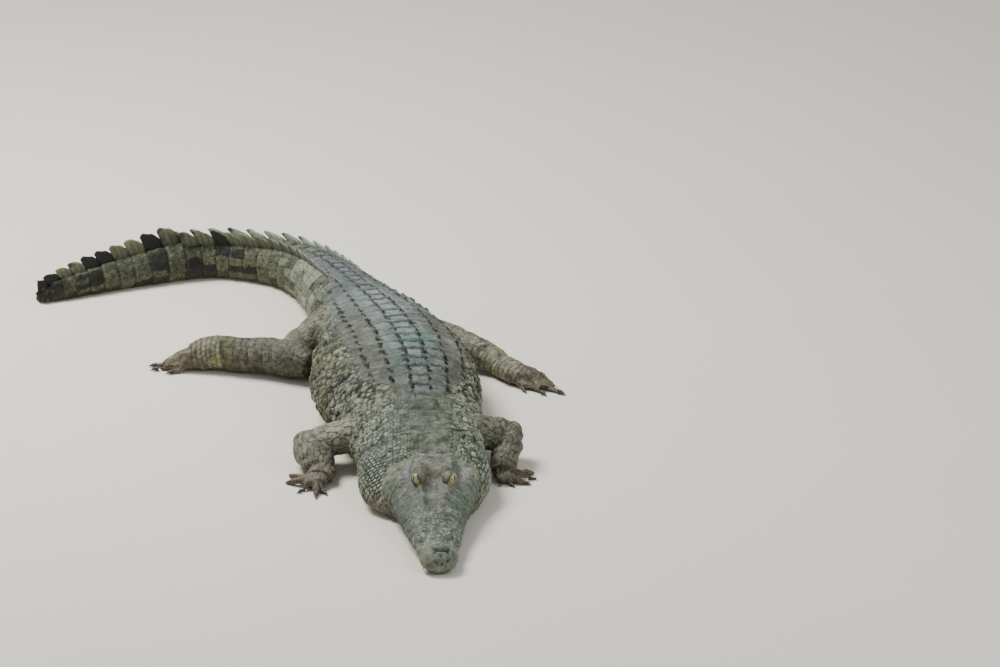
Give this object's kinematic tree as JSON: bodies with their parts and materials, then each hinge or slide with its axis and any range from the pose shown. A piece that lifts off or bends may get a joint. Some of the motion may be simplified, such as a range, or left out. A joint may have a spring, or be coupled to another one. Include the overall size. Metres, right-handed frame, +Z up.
{
  "type": "crocodile model",
  "caption": "Life-size still model of an adult crocodile lying on its belly, legs out and tail curled to its right, with a shortened tail end.",
  "frame": {"origin": "on the floor under the belly, midway between the shoulders and the hips", "axes": "+Z up; the head points to -Y; +X is the animal's left; the tail curls round to -X"},
  "size_m": [1.6985, 2.3921, 0.2434],
  "materials": {
    "head_skin": "grey-green pitted skin drawn tight over the skull",
    "jaw_skin": "paler grey-green skin with yellowish lips",
    "body_skin": "blue-grey-green horny scutes and pale rounded flank scales",
    "tail_skin": "olive scutes in rings with black blocks",
    "limb_skin": "grey scaled skin",
    "foot_skin": "grey-brown scaled skin, muddy",
    "eye": "wet yellow-green eye with a slit pupil",
    "claw": "dark worn horn"
  },
  "bodies": {
    "root": {"head": "head_skin", "lower_jaw": "jaw_skin", "eye_right": "eye", "eye_left": "eye", "neck": "body_skin", "trunk_front": "body_skin", "trunk_rear": "body_skin", "tail_1": "tail_skin", "tail_2": "tail_skin", "tail_3": "tail_skin", "tail_4": "tail_skin", "tail_5": "tail_skin", "upper_arm_right": "limb_skin", "forearm_right": "limb_skin", "hand_right": "foot_skin", "claw_hand_right_1": "claw", "claw_hand_right_2": "claw", "claw_hand_right_3": "claw", "thigh_right": "limb_skin", "shank_right": "limb_skin", "foot_right": "foot_skin", "claw_foot_right_1": "claw", "claw_foot_right_2": "claw", "claw_foot_right_3": "claw", "upper_arm_left": "limb_skin", "forearm_left": "limb_skin", "hand_left": "foot_skin", "claw_hand_left_1": "claw", "claw_hand_left_2": "claw", "claw_hand_left_3": "claw", "thigh_left": "limb_skin", "shank_left": "limb_skin", "foot_left": "foot_skin", "claw_foot_left_1": "claw", "claw_foot_left_2": "claw", "claw_foot_left_3": "claw"}
  },
  "joints": []
}
